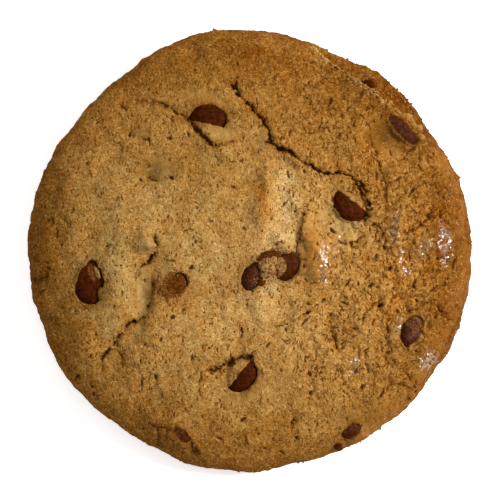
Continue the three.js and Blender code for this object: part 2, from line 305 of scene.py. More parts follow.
ROOM_IN_WINDOW = 0.9  # how far the dough lies below the chip inside its opening
DEEPEST_CHIP = 0.9  # where a chip's side lies deeper than this below the dough, the dough closes over it
WINDOW_MARGIN = 2.5  # how far round a chip's box the dough is fitted to it
LOWEST_WINDOW = 2.0  # the dough below this height isn't opened
CHIP_RAY_START = 6.0  # how far outside the even skin the rays towards a chip start
NO_CHIP = -9.0  # how far out a chip counts as lying where a ray meets none

# Chocolate smeared over the dough: an oval (place, half long, half wide, turn) and how strong.
SMEARS = [
    ((3.3, -0.7, 2.2, 0.5, 20), 0.8),
    ((5.3, 1.7, 1.2, 0.3, -32), 0.7),
    ((3.3, -3.6, 0.6, 1.6, 0), 0.7),
    ((-27.8, -7.6, 0.9, 0.35, 60), 0.8),
    ((-14.3, -6.6, 3.1, 2.3, 42), 0.78),
    ((-13, -35.4, 2.1, 0.8, -40), 0.7),
    ((-14.6, -36.2, 1.4, 0.4, -60), 0.6),
    ((-17.8, -33.4, 1.1, 0.5, -25), 0.9),
    ((20.6, 31.9, 1.1, 0.45, -40), 0.55),
    ((0.4, -7.9, 0.9, 0.3, 30), 0.5),
]

# Places where the dough is smooth, with little grain: place, half long and half wide size, turn in degrees.
SMOOTH_PLACES = [
    (-7.6, 22.6, 5, 2, -15),
    (-8.4, 28.9, 4.6, 1.2, -8),
    (16.4, 4, 5.4, 2.8, -35),
    (18.6, 9.6, 5, 1.6, -35),
    (-20.4, -8.6, 5.6, 1.5, 82),
    (11.6, -0.5, 7, 1.8, 95),
    (-17.8, 15.6, 3.4, 2.2, 10),
    (2.5, 20.6, 1.8, 1.2, -20),
    (-19.4, 1.2, 1.8, 1.5, 60),
    (25.4, 21.4, 4.4, 3, -45),
    (19.2, -32, 3, 2, 20),
    (-1, -27.4, 4, 1.4, 30),
]

# Patches that shine: place, half long and half wide size, turn in degrees.
GLINTS = [
    (37, 1.1, 3.4, 1.2, 96),
    (33, 0.5, 1.6, 1.1, 60),
    (27.6, 4.1, 2.6, 0.6, 84),
    (16.9, 0.7, 1.5, 0.8, 60),
    (14, -3, 3.4, 1, 92),
    (28, -14.1, 1.2, 0.8, 90),
    (34, -21.2, 2.2, 1.6, 60),
    (19.8, -21.8, 1.6, 0.9, 60),
    (28.6, -0.7, 1.2, 0.8, 60),
    (30.1, -3.5, 1.2, 0.8, 60),
    (7, 6.4, 0.5, 0.8, 0),
]

# Places where the dough looks different: place, spread along x and y, how much browner, how much warmer in
# colour, and a grey tint that is partly chocolate stain, partly painted shade in hollows. A few rows paint
# light and shade, as noted above them.
TONES = [
    (3.5, 7, 7.5, 10, -0.05, -0.15, 0),
    (2.3, 8.5, 1.7, 5.5, 0.12, 1, 0),
    # Painted light: paler dough in the hollow beside the middle ridge, where shade falls.
    (7.2, 10, 2.8, 5.5, -0.24, -0.2, 0),
    (2.5, -11.5, 6, 5, -0.10, 0.05, 0),
    (-20.4, -9, 1.5, 5.5, 0.04, -0.9, 0.18),
    (-18.2, 15, 2.6, 2.4, 0.10, -0.4, 0.7),
    (20.7, 31.8, 1.3, 0.8, 0, -0.2, 0.5),
    (2.4, 20.6, 1.3, 1.3, 0, -0.7, 0.5),
    (26, 21.8, 2.4, 2.4, 0.08, -0.4, 0.8),
    (19, -32.2, 2.4, 1.7, 0, -0.9, 0.5),
    (-19.6, 1.4, 1.6, 1.5, -0.15, -0.8, 0.1),
    (-5.6, 30, 5, 1.4, -0.05, -0.3, 0),
    (-12.6, -37.6, 2.2, 1.6, 0, -0.3, 0.35),
    (27.5, -6, 11, 14, -0.05, 0.3, 0),
    (-28, 0, 11, 24, -0.09, -0.5, 0),
    (0, -26, 20, 12, -0.06, 0, 0),
    (-12, 8, 12, 14, 0.05, -0.4, 0),
    (14, -2, 2, 4, -0.05, 0.3, 0),
    (-15.6, -8.2, 3, 2.2, 0.12, 0.9, 0),
    # Browner west rim: partly baking, partly painted shade on the side away from the lamp.
    (-39.5, -3, 5, 18, 0.13, -0.1, 0),
    # Painted shade: browner, warmer dough on the west slope of the ridge right of the middle chips.
    (11.6, 2, 1.6, 5.5, 0.05, 0.6, 0),
    (12.5, 2, 5, 9, 0.09, 0.2, 0),
    (0, 17, 12, 6, 0.05, 0, 0),
    (-2.5, 3, 4.5, 4, 0.08, 0.3, 0),
    (15.6, 37, 9, 4, -0.10, -0.1, 0),
    (23, -35.8, 2.6, 1.2, -0.16, 0.1, 0),
    (-31, -13, 6, 6, 0.08, 0, 0),
    (-34, 12, 6, 10, 0.05, 0, 0),
    (-10, -22, 9, 9, 0, -0.3, 0),
    (14, -35, 7, 3, -0.11, 0, 0),
    (12, -5, 4, 4, 0.10, 0, 0),
    (18, 8, 6, 6, 0.06, 0, 0),
    (10, 23, 6, 6, 0.07, 0, 0),
    (1.2, 37.7, 2.6, 1, 0.08, 0.9, 0),
    (15.8, -16.4, 1.5, 2.2, 0.02, -0.3, 0.12),
    (25, 9, 2.2, 5, 0.08, -0.2, 0.1),
    (4, 34, 13, 6, 0.13, 0.3, 0),
    (24, 24, 12, 11, 0.10, 0.2, 0),
    (33, -4, 9, 16, 0.06, 0.3, 0),
    (-8, 22.6, 4, 1.6, -0.10, -0.9, 0),
    (17.4, 5.6, 4.8, 4.2, -0.16, -1.2, 0),
    (5.6, 1.6, 3, 1.8, -0.22, -0.5, 0),
    (3.7, -7.4, 1.6, 1.1, -0.24, -0.3, 0),
    (-25.6, -4, 2.4, 8, -0.08, -0.2, 0),
    (-3.4, -6, 1.8, 3.6, 0.10, -0.2, 0),
    (38.5, 3, 4, 12, 0.15, 0.1, 0),
    (29.4, 28, 5, 2.4, 0.05, 0.8, 0),
    (-21, 33, 6, 3, 0.06, 0.3, 0),
    (7, 14.2, 1.5, 1.6, -0.14, -0.2, 0),
    (37.5, -15, 2.5, 8, 0.10, 0, 0),
    (-27.2, -14, 1.8, 5, -0.12, -0.1, 0),
    (-4, 9, 5, 7, 0.05, 0, 0),
]

# Bits of chocolate too small for a CAD solid: place, long and wide size, turn, height, how much dough film.
BITS = [
    (3.3, -1.4, 5.4, 2.2, 24, 1.5, 0.55),
    (3.2, -3.4, 3, 4.4, 10, 2, 1),
    (2.3, -6, 2, 1.5, 60, 1.3, 0.55),
    (5.5, -4.9, 2.8, 1.5, 22, 1.5, 0.50),
    (-1.2, -32.1, 1.3, 0.9, 30, 0.7, 0.3),
    (-29.7, -27.3, 1.2, 0.7, 80, 0.6, 0.3),
    (25.1, -27.3, 2.4, 0.9, 68, 0.7, 0.3),
    (11.4, -23.5, 1.5, 0.8, -60, 0.7, 0.3),
    (-14.8, -12.7, 1.3, 0.9, 10, 0.5, 0.3),
    (-17.8, -33.5, 1.7, 0.8, -25, 0.8, 0.3),
    (-10.7, -38, 2.2, 1, -55, 0.9, 0.3),
    (31.6, -27, 0.8, 0.5, 30, 0.5, 0.3),
]


class Noise:
    """Smooth noise over space, about -1 to 1, the same each run."""

    COUNT = 4096

    def __init__(self, seed):
        draw = np.random.default_rng(seed)
        slopes = draw.normal(size=(self.COUNT, 3))
        self.slopes = (slopes / np.linalg.norm(slopes, axis=1, keepdims=True)).T.copy()
        self.order = draw.permutation(self.COUNT)

    def __call__(self, places, size):
        scaled = (np.asarray(places) / size).T
        cell = np.floor(scaled).astype(np.int64)
        inside = scaled - cell
        ease = inside**3 * (inside * (inside * 6 - 15) + 10)
        share = (1 - ease, ease)
        total = np.zeros(scaled.shape[1])
        for corner in itertools.product((0, 1), repeat=3):
            index = np.zeros(scaled.shape[1], dtype=np.int64)
            along, weight = 0.0, 1.0
            for axis, step in enumerate(corner):
                index = self.order[(index + cell[axis] + step) % self.COUNT]
                weight = weight * share[step][axis]
            for axis, step in enumerate(corner):
                along = along + self.slopes[axis][index] * (inside[axis] - step)
            total += along * weight
        return 1.6 * total


def smoothstep(low, high, value):
    """0 at low and 1 at high, with a smooth run between them."""
    share = np.clip((value - low) / (high - low), 0, 1)
    return share * share * (3 - 2 * share)


def turned(dx, dy, degrees):
    """How far a step goes along and across a direction."""
    turn = math.radians(degrees)
    return dx * math.cos(turn) + dy * math.sin(turn), dy * math.cos(turn) - dx * math.sin(turn)


def beyond_oval(x, y, oval):
    """Roughly how far each place is outside an oval (place, half long, half wide, turn)."""
    centre_x, centre_y, half_long, half_wide, turn = oval
    along, across = turned(x - centre_x, y - centre_y, turn)
    return (np.hypot(along / half_long, across / half_wide) - 1) * min(half_long, half_wide)


def beyond_ovals(x, y, ovals):
    """Roughly how far each place is outside the nearest of some ovals."""
    return np.min([beyond_oval(x, y, oval) for oval in ovals], axis=0)


def beyond_line(x, y, line):
    """How far each place is from a line of points, and its side: 1 on the line's left, -1 on its right."""
    nearest = np.full(x.shape, np.inf)
    side = np.zeros(x.shape)
    for (ax, ay), (bx, by) in itertools.pairwise(line):
        run, rise = bx - ax, by - ay
        share = np.clip(((x - ax) * run + (y - ay) * rise) / (run * run + rise * rise), 0, 1)
        off_x, off_y = x - ax - share * run, y - ay - share * rise
        far = np.hypot(off_x, off_y)
        closer = far < nearest
        nearest = np.where(closer, far, nearest)
        side = np.where(closer, np.sign(run * off_y - rise * off_x), side)
    return nearest, side


def scattered_pits(x, y, cell, seed, amount, widths, stretch, lean):
    """Small holes, at most one in each square of the plan: how deep each place lies, from 0 to 1.

    amount is the share of squares with a hole, widths the least and greatest half width, stretch how many
    times as long as wide the longest are, and lean their main direction in degrees.
    """
    count = Noise.COUNT
    draw = np.random.default_rng(seed)
    order = draw.permutation(count)
    home = draw.uniform(0.2, 0.8, (count, 2))
    half = draw.uniform(*widths, count)
    long = draw.uniform(1, stretch, count)
    turn = np.radians(lean + draw.normal(0, 35, count))
    depth = draw.uniform(0.5, 1, count)
    chance = draw.uniform(0, 1, count)
    column, row = np.floor(x / cell).astype(int), np.floor(y / cell).astype(int)
    deepest = np.zeros(x.shape)
    for step_x, step_y in itertools.product((-1, 0, 1), repeat=2):
        index = order[(order[(column + step_x) % count] + row + step_y) % count]
        dx = x - (column + step_x + home[index, 0]) * cell
        dy = y - (row + step_y + home[index, 1]) * cell
        along = dx * np.cos(turn[index]) + dy * np.sin(turn[index])
        across = dy * np.cos(turn[index]) - dx * np.sin(turn[index])
        far = np.hypot(along / long[index], across) / half[index]
        there = chance[index] < amount
        deepest = np.maximum(deepest, there * depth[index] * np.clip(1.3 * (1 - far**2), 0, 1))
    return deepest


# ---- meshes


def placed(name, data):
    """A new object in the scene."""
    thing = bpy.data.objects.new(name, data)
    bpy.context.scene.collection.objects.link(thing)
    return thing


def hold_looks(mesh, looks):
    """Gives a mesh a number per vertex for each look's name."""
    for look, values in looks.items():
        attribute = mesh.attributes.new(look, "FLOAT", "POINT")
        attribute.data.foreach_set("value", np.asarray(values, dtype=np.float32))


def mesh_object(name, places, faces, looks):
    """A smooth mesh piece from places in millimetres."""
    mesh = bpy.data.meshes.new(name)
    mesh.from_pydata((np.asarray(places) * MM).tolist(), [], faces)
    mesh.update()
    mesh.shade_smooth()
    hold_looks(mesh, looks)
    return placed(name, mesh)


def settle_modifiers(piece):
    """Turns a piece's modifiers into its mesh."""
    bpy.context.view_layer.update()
    seen = piece.evaluated_get(bpy.context.evaluated_depsgraph_get())
    settled = bpy.data.meshes.new_from_object(seen)
    piece.modifiers.clear()
    piece.data = settled
    settled.name = piece.name


def vertex_places(mesh):
    """A mesh's vertices in millimetres."""
    flat = np.empty(len(mesh.vertices) * 3)
    mesh.vertices.foreach_get("co", flat)
    return flat.reshape(-1, 3) / MM


def vertex_normals(mesh):
    flat = np.empty(len(mesh.vertices) * 3)
    mesh.vertex_normals.foreach_get("vector", flat)
    return flat.reshape(-1, 3)


def tree_of(pieces):
    """The surfaces of mesh objects as one tree for rays, in millimetres."""
    places, faces = [], []
    for piece in pieces:
        start = len(places)
        places += [tuple(place) for place in vertex_places(piece.data)]
        faces += [[start + v for v in face.vertices] for face in piece.data.polygons]
    return BVHTree.FromPolygons(places, faces)


def middle_and_reach(node):
    """The middle of a CAD node's box and how far its corners are from there, in millimetres."""
    low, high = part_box(node)
    return (low + high) / 2 / MM, (high - low).length / 2 / MM


def reach_inwards(tree, places, directions, start):
    """How far out along each direction a surface lies from each place, found by rays from start away."""
    out = np.full(len(places), np.nan)
    for i, (place, direction) in enumerate(zip(places, directions)):
        hit = tree.ray_cast(Vector(place + start * direction), Vector(-direction), 2 * start)
        if hit[0] is not None:
            out[i] = start - hit[3]
    return out


# ---- the dough


def wrapped_grid(cells):
    """A square grid laid over a disc in even rings: each point's share of the way out, and its angle."""
    steps = np.linspace(-1, 1, cells + 1)
    u, v = np.meshgrid(steps, steps)
    steep = np.abs(v) > np.abs(u)
    far = np.where(steep, v, u)
    near = np.where(steep, u, v)
    share = math.pi / 4 * near / np.where(far == 0, 1, far)
    angle = np.where(steep, math.pi / 2 - share, share) + np.where(far < 0, math.pi, 0)
    return np.abs(far), angle


def grid_faces(cells, start=0):
    """The squares of a grid whose points are numbered from start."""
    row = cells + 1
    corner = (np.arange(cells)[:, None] * row + np.arange(cells)[None, :]).ravel() + start
    return np.stack([corner, corner + 1, corner + 1 + row, corner + row], axis=1)


def grid_rim(cells, start=0):
    """The outermost points of a grid, in order round the edge."""
    row = cells + 1
    steps = np.arange(cells)
    sides = [steps, cells + steps * row, cells * row + cells - steps, (cells - steps) * row]
    return np.concatenate(sides) + start


def evened(field, rounds):
    """A grid of numbers smoothed by its neighbours."""
    for _ in range(rounds):
        for axis in (0, 1):
            padded = np.concatenate([field.take([0], axis), field, field.take([-1], axis)], axis)
            count = field.shape[axis]
            before = padded.take(range(count), axis)
            after = padded.take(range(2, count + 2), axis)
            field = 0.25 * before + 0.5 * field + 0.25 * after
    return field


def closed_gaps(field):
    """A grid of numbers with narrow dips filled in."""
    for pick in (np.maximum, np.minimum):
        for axis in (0, 1):
            field = pick(field, pick(np.roll(field, 1, axis), np.roll(field, -1, axis)))
    return field


def wrap_cad_skin(tree, half_width):
    """The even upper skin of the CAD cookie as a grid of places, with the way out at each."""
    reach, angle = wrapped_grid(SKIN_CELLS)
    core = half_width - CORE_INSET
    along = reach * (core + CORE_INSET * math.radians(90 - FOOT_TURN))
    radius = np.minimum(along, core)
    tilt = math.pi / 2 - np.maximum(along - core, 0) / CORE_INSET
    east, north = np.cos(angle), np.sin(angle)
    ways = np.stack([np.cos(tilt) * east, np.cos(tilt) * north, np.sin(tilt)], axis=-1)
    starts = np.stack([radius * east, radius * north, np.full(reach.shape, CORE_HEIGHT)], axis=-1)
    out = reach_inwards(tree, starts.reshape(-1, 3), ways.reshape(-1, 3), RAY_START).reshape(reach.shape)
    out = evened(closed_gaps(out), SKIN_EVENING)
    places = starts + ways * out[..., None]
    across = np.cross(np.gradient(places, axis=1), np.gradient(places, axis=0))
    normals = across / np.linalg.norm(across, axis=-1, keepdims=True)
    return places.reshape(-1, 3), normals.reshape(-1, 3), angle.ravel()


class Skin:
    """The dough's upper skin while its looks are worked out.

    It holds the even skin's places in millimetres and the way out at each, how far each place is pushed along
    its way out, and how the dough looks there, as numbers from 0 to 1.
    """

    def __init__(self, places, normals, angle, half_width, noise):
        self.space_noise = noise
        self.base = places
        self.normals = normals
        self.x, self.y, self.z = places.T
        self.angle = np.degrees(angle)
        self.level = np.clip(normals[:, 2], 0, 1)
        self.radius = np.hypot(self.x, self.y)
        self.outline = half_width
        for look in ("push", "dark", "stain", "smear", "torn", "lumpy", "lip"):
            setattr(self, look, np.zeros(len(places)))

    def noise(self, shift, size, squeeze=1.0):
        """Noise over the skin. Each use has its own shift through it, and squeeze narrows it along X."""
        return self.space_noise(self.base * (squeeze, 1, 1) + shift, size)

    # Paints the dark look: in cracks, pits, crevices, furrows and gaps it is partly darker crumb and partly
    # painted shade.
    def darken(self, amount, where=slice(None)):
        self.dark[where] = np.maximum(self.dark[where], amount)

    def turn_from(self, degrees):
        """How far round the cookie each place is from a direction, in degrees."""
        return np.abs((self.angle - degrees + 180) % 360 - 180)

    def evened_push(self):
        """The push without its small relief."""
        return evened(self.push.reshape(SKIN_CELLS + 1, SKIN_CELLS + 1), LUMP_EVENING).ravel()

    def places(self):
        moved = self.base + self.normals * self.push[:, None]
        moved[:, 2] = np.maximum(moved[:, 2], 0)
        return moved


def add_relief(skin):
    """Lumps and grain of every size, rougher on the right, where the crust has crackled."""
    crackled = smoothstep(4, 20, skin.x) * smoothstep(-36, -24, skin.y) * smoothstep(24, 6, skin.y)
    crackled *= smoothstep(1.0, 0.93, skin.radius / (0.93 * skin.outline))
    for size, height, shift in RELIEF:
        rough = 1 + (0.7 * crackled if size < FINE_RELIEF else 0)
        skin.push += height * rough * skin.noise(shift, size)
    top = smoothstep(0.3, 0.7, skin.level)
    for size, shift, depth in ((3.2, 300, 0.30), (1.9, 340, 0.24)):
        between = np.abs(skin.noise(shift, size, squeeze=1.5))
        broken = smoothstep(0.0, 0.35, skin.noise(shift + 15, 1.3 * size))
        crevice = crackled * broken * top
        skin.push -= depth * crevice * smoothstep(0.30, 0.0, between)
        # Painted shade in the crevices, with their darker crumb.
        skin.darken(0.56 * crevice * smoothstep(0.12, 0.02, between))
    skin.lumpy = crackled
    skin.push += 0.22 * crackled * skin.noise(360, 2.6, squeeze=1.3)
    bend_x, bend_y = 0.8 * skin.noise(310, 3.0), 0.8 * skin.noise(320, 3.0)
    for x, y, half_long, half_wide, turn, height in SWELLS:
        along, across = turned(skin.x + bend_x - x, skin.y + bend_y - y, turn)
        skin.push += SWELL_STRENGTH * height * np.exp(-((along / half_long) ** 2) - (across / half_wide) ** 2)


def add_pits(skin):
    """Pores and pits: tiny ones everywhere, fewer large ones, and streaks where the crust has crackled."""
    crackled = smoothstep(0, 14, skin.x) * smoothstep(-36, -20, skin.y) * smoothstep(34, 24, skin.y)
    patchy = 0.5 + 0.5 * skin.noise(900, 6.0)
    top = smoothstep(0.2, 0.6, skin.level)
    kinds = [
        # cell, seed, amount, half widths, stretch, lean, depth, darkness
        (1.2, 21, 0.34 + 0.3 * patchy, (0.11, 0.17), 3.4, 95, 0.08, 0.69),
        (2.3, 22, 0.26 + 0.3 * patchy, (0.14, 0.22), 4.0, 80, 0.15, 0.71),
        (4.6, 23, 0.14 + 0.3 * patchy, (0.20, 0.31), 3.4, 65, 0.36, 0.75),
        (2.4, 24, 0.60 * crackled, (0.15, 0.24), 4.6, 92, 0.26, 0.72),
        (4.2, 25, 0.64 * crackled, (0.20, 0.33), 5.0, 84, 0.44, 0.78),
    ]
    for cell, seed, amount, widths, stretch, lean, depth, darkness in kinds:
        pit = scattered_pits(skin.x, skin.y, cell, seed, amount, widths, stretch, lean) * top
        skin.push -= depth * pit
        # Pits drawn dark: partly darker crumb, partly painted shade in them.
        skin.darken(darkness * smoothstep(0.0, 0.5, pit))
    ragged = 0.16 * skin.noise(500, 0.7)
    for x, y, long, wide, turn, depth in HOLES:
        inside = ragged - beyond_oval(skin.x, skin.y, (x, y, long / 2, wide / 2, turn))
        share = smoothstep(-0.15, 0.25, inside)
        skin.push -= depth * share
        # Holes drawn dark: partly darker crumb, partly painted shade in them.
        skin.darken(0.8 * share)


def add_cracks(skin):
    """The long cracks: a shallow torn furrow with a thin dark gap in it, ragged and broken here and there."""
    bend, swerve = (0.35 * skin.noise(at, 1.7) + 0.34 * skin.noise(at + 1, 0.75) for at in (70, 80))
    width = 0.66 + 1.0 * skin.noise(90, 1.6) + 0.8 * skin.noise(91, 0.55)
    crumbly = skin.noise(95, 0.8) + 0.7 * skin.noise(96, 0.45)
    for name, (line, half, depth) in CRACKS.items():
        low, high = np.min(line, axis=0) - CRACK_REACH, np.max(line, axis=0) + CRACK_REACH
        near = (skin.x > low[0]) & (skin.x < high[0]) & (skin.y > low[1]) & (skin.y < high[1])
        near &= skin.level > 0.1
        far, side = beyond_line(skin.x[near] + bend[near], skin.y[near] + swerve[near], line)
        wide = half * np.clip(width[near], 0.05, 1.7)
        gap = smoothstep(1.2, 0.4, far / wide)
        furrow = smoothstep(half + 0.75, half * 0.5, far)
        skin.push[near] += LIFTS.get(name, 0) * np.clip(side, 0, 1) * np.exp(-((far / LIFT_SPREAD) ** 2))
        skin.push[near] -= 0.7 * depth * gap + 0.22 * depth * furrow
        skin.push[near] += 0.16 * crumbly[near] * furrow
        skin.torn[near] = np.maximum(skin.torn[near], furrow)
        # The gap drawn dark: partly darker crumb, partly painted shade in the crack.
        skin.darken(np.clip(1 - 0.5 * far / wide, 0, 1), near)


def add_rim(skin):
    """The crumbly edge, and the thin skirt that stands out below the shoulder in the east and south-east."""
    skirt = smoothstep(44, 34, skin.turn_from(SKIRT_WAY))
    skirt *= smoothstep(0.1, 0.2, skin.level) * smoothstep(0.75, 0.5, skin.level)
    line = np.exp(-(((skin.z - SKIRT_LINE) / 0.45) ** 2))
    skin.push -= 0.45 * skirt * line
    # Painted shade along the furrow above the skirt.
    skin.darken(0.5 * skirt * line)
    side = smoothstep(0.7, 0.2, skin.level)
    crumbs = skin.noise(400, 1.3) + 0.6 * skin.noise(410, 0.6)
    rough_side = smoothstep(80, 40, skin.turn_from(ROUGHEST_WAY))
    broken = smoothstep(-0.1, 0.5, skin.noise(430, 7.0)) * (0.10 + 0.16 * rough_side)
    skin.push += (0.04 + broken) * side * crumbs
    skin.push += 0.25 * side * skin.noise(440, 5.0)
    bend = 0.7 * skin.noise(420, 2.0)
    far, left = beyond_line(skin.x + bend, skin.y + 0.5 * crumbs, NORTH_EAST_LIP)
    ends = smoothstep(8.0, 14.0, skin.x) * smoothstep(17.0, 24.0, skin.y) * smoothstep(0.15, 0.5, skin.level)
    shelf = smoothstep(0.0, 1.0, far) * (left > 0) * ends
    skin.push += (0.30 * crumbs - SHELF_DROP) * shelf
    skin.torn = np.maximum(skin.torn, 0.4 * shelf)
    skin.lip = np.exp(-((far / 0.55) ** 2)) * ends
    skin.push += 0.40 * skin.lip * (left < 0)


def open_windows(skin, chips):
    """Lays the dough over each chip, and opens it where the chip shows."""
    ragged_x, ragged_y = (0.22 * skin.noise(at, 1.1) + 0.12 * skin.noise(at + 10, 0.5) for at in (600, 620))
    for node, window in WINDOWS.items():
        middle, reach = middle_and_reach(node)
        near = np.hypot(skin.x - middle.x, skin.y - middle.y) < reach + WINDOW_MARGIN
        near &= skin.z > LOWEST_WINDOW
        x = skin.x[near] + ragged_x[near] - middle.x
        y = skin.y[near] + ragged_y[near] - middle.y
        beyond = beyond_ovals(x, y, window["open"])
        if "keep" in window:
            facing = turned(x - window["open"][0][0], y - window["open"][0][1], window["keep"])[0]
            beyond = np.maximum(beyond, -facing)
        for patch in window.get("patches", ()):
            beyond = np.maximum(beyond, -beyond_oval(x, y, patch))
        chip_out = reach_inwards(tree_of([chips[node]]), skin.base[near], skin.normals[near], CHIP_RAY_START)
        chip_out = np.where(np.isnan(chip_out), NO_CHIP, chip_out)
        push = skin.push[near]
        covered = np.maximum(push, chip_out + SKIN_OVER_CHIP)
        room = window.get("room", ROOM_IN_WINDOW)
        opened = np.minimum(push, chip_out - room)
        shows = smoothstep(-DEEPEST_CHIP - 0.1, -DEEPEST_CHIP + 0.1, chip_out - push)
        share = smoothstep(0.1, -0.1, beyond) * shows
        skin.push[near] = covered * (1 - share) + opened * share
        # Painted shade in the gap where the dough lies below the chip inside its opening: the more room, the
        # darker.
        shade = room / ROOM_IN_WINDOW * smoothstep(0.0, -0.5, beyond) * shows
        skin.dark[near] = np.maximum(skin.dark[near] * (1 - share), shade)
        # A grey halo round each opening: partly chocolate stain, partly painted contact shade round the chip.
        halo = np.exp(-np.maximum(beyond, 0) / 1.1) * (1 - share)
        skin.stain[near] = np.maximum(skin.stain[near], 0.4 * halo)


def add_smears(skin):
    """Melted chocolate drawn over the dough, with ragged edges."""
    ragged = 0.35 * skin.noise(800, 0.9) + 0.25 * skin.noise(810, 0.45)
    for oval, strength in SMEARS:
        inside = ragged - beyond_oval(skin.x, skin.y, oval)
        skin.smear = np.maximum(skin.smear, strength * smoothstep(-0.6, 0.6, inside))


def toned(skin):
    """The dough's looks at each place, such as how far it is baked, how warm its colour is and its gloss."""
    out = skin.radius / skin.outline
    bake = 0.30 + 0.22 * smoothstep(0.1, 0.75, out) + 0.16 * smoothstep(0.7, 1.0, out)
    bake += 0.12 * smoothstep(0.8, 0.2, skin.level)
    warm = np.zeros(len(out))
    for x, y, wide, tall, darker, warmer, stain in TONES:
        share = np.exp(-(((skin.x - x) / wide) ** 2) - ((skin.y - y) / tall) ** 2)
        bake += darker * share
        warm += warmer * share
        # Grey tint: partly chocolate stain, partly painted shade in hollows.
        skin.stain = np.maximum(skin.stain, stain * share)
    bake += 0.03 + 0.07 * skin.noise(700, 7.0) + 0.05 * skin.noise(710, 3.0)
    # Painted highlight along the north-east lip: the dough there is paler and cooler.
    bake += 0.05 * skin.noise(720, 1.2) - 0.45 * skin.lip
    warm -= 0.8 * skin.lip
    warm += 0.45 * skin.noise(740, 5.0) + 0.35 * skin.noise(750, 1.8)
    bake += (0.30 - 0.65 * skin.lumpy) * np.clip(skin.push - skin.evened_push(), -0.3, 0.3)
    bake += skin.torn * (0.12 + 0.25 * skin.noise(760, 0.9))
    glint = 0.5 * skin.noise(780, 0.9) - beyond_ovals(skin.x, skin.y, GLINTS)
    even = 0.6 * skin.noise(790, 1.5) - beyond_ovals(skin.x, skin.y, SMOOTH_PLACES)
    crackled = 0.25 + 0.75 * smoothstep(0, 16, skin.x) * smoothstep(-38, -22, skin.y)
    glossy_rim = smoothstep(0.90, 0.95, out) * smoothstep(60, 40, skin.turn_from(GLOSSIEST_WAY))
    return {
        "bake": bake,
        "warm": warm,
        "gloss": np.maximum(smoothstep(-0.5, 0.3, glint), 0.05 * glossy_rim),
        "crackled": crackled,
        "smooth": np.maximum(smoothstep(-0.6, 0.6, even), 0.9 * glossy_rim),
        "dark": skin.dark,
        "stain": skin.stain,
        "smear": skin.smear,
    }


def seam_faces(first):
    """The triangles that join the skin's lower edge to the underside's coarser one, which starts at first."""
    upper, lower = grid_rim(SKIN_CELLS).tolist(), grid_rim(BASE_CELLS, first).tolist()
    ratio = SKIN_CELLS // BASE_CELLS
    half = ratio // 2
    faces = []
    for i, low in enumerate(lower):
        following = lower[(i + 1) % len(lower)]
        above = [upper[(i * ratio + k) % len(upper)] for k in range(ratio + 1)]
        faces += [(low, above[k + 1], above[k]) for k in range(half)]
        faces.append((low, following, above[half]))
        faces += [(following, above[k + 1], above[k]) for k in range(half, ratio)]
    return faces


def make_underside(skin_places, noise, first):
    """A slightly hollowed and pitted underside inside the skin's lower edge: places, faces and looks."""
    reach, angle = wrapped_grid(BASE_CELLS)
    rim = skin_places[grid_rim(SKIN_CELLS)]
    rim_angle = np.arctan2(rim[:, 1], rim[:, 0])
    order = np.argsort(rim_angle)
    rim_radius = np.hypot(rim[:, 0], rim[:, 1])
    spread = np.interp(angle, rim_angle[order], rim_radius[order], period=2 * math.pi)
    radius = reach * (spread - BASE_INSET)
    x, y = (radius * np.cos(angle)).ravel(), (radius * np.sin(angle)).ravel()
    flat = np.stack([x, y, np.zeros(x.size)], axis=1)
    inner = smoothstep(1.0, 0.93, reach.ravel())
    pits = scattered_pits(x, y, 4.0, 51, 0.6, (0.5, 1.1), 1.6, 0)
    pits += 0.6 * scattered_pits(x, y, 2.2, 52, 0.5, (0.3, 0.6), 1.5, 0)
    hollow = 0.14 + 0.12 * noise(flat + 5, 6.0) + 0.06 * noise(flat + 6, 1.8)
    flat[:, 2] = np.maximum(inner * (hollow + 0.6 * pits), 0)
    faces = grid_faces(BASE_CELLS, first)[:, ::-1].tolist() + seam_faces(first)
    looks = {
        "bake": 0.62 + 0.14 * noise(flat + 8, 9.0) + 0.1 * noise(flat + 9, 2.5) + 0.1 * reach.ravel() ** 4,
        "warm": 0.25 + 0.3 * noise(flat + 11, 6.0),
        "crackled": np.full(x.size, 0.3),
        "smooth": np.full(x.size, 0.3),
        # Pits drawn dark: partly darker crumb, partly painted shade in them.
        "dark": 0.75 * np.clip(pits, 0, 1),
    }
    return flat, faces, looks


def make_dough(nodes, chips, noise):
    """The whole dough: a skin wrapped over the CAD solids, fitted to the dough's width, and an underside."""
    low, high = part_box("dough")
    half_width = (high.x - low.x) / 2 / MM
    tree = tree_of(nodes.values())
    places, normals, angle = wrap_cad_skin(tree, half_width)
    for axis in (0, 1):
        places[:, axis] *= (high[axis] - low[axis]) / 2 / MM / np.abs(places[:, axis]).max()
    skin = Skin(places, normals, angle, half_width, noise)
    add_relief(skin)
    add_pits(skin)
    add_cracks(skin)
    add_rim(skin)
    open_windows(skin, chips)
    add_smears(skin)
    looks = toned(skin)
    upper = skin.places()
    under, under_faces, under_looks = make_underside(upper, noise, len(upper))
    faces = grid_faces(SKIN_CELLS).tolist() + under_faces
    plain = np.zeros(len(under))
    looks = {look: np.concatenate([values, under_looks.get(look, plain)]) for look, values in looks.items()}
    dough = mesh_object("cookie_dough", np.concatenate([upper, under]), faces, looks)
    triangles = sum(len(face) - 2 for face in faces)
    thin = dough.modifiers.new("thin", "DECIMATE")
    thin.ratio = DOUGH_TRIANGLES / triangles
    thin.use_collapse_triangulate = True
    settle_modifiers(dough)
    return dough


# ---- chips, bits and crumbs

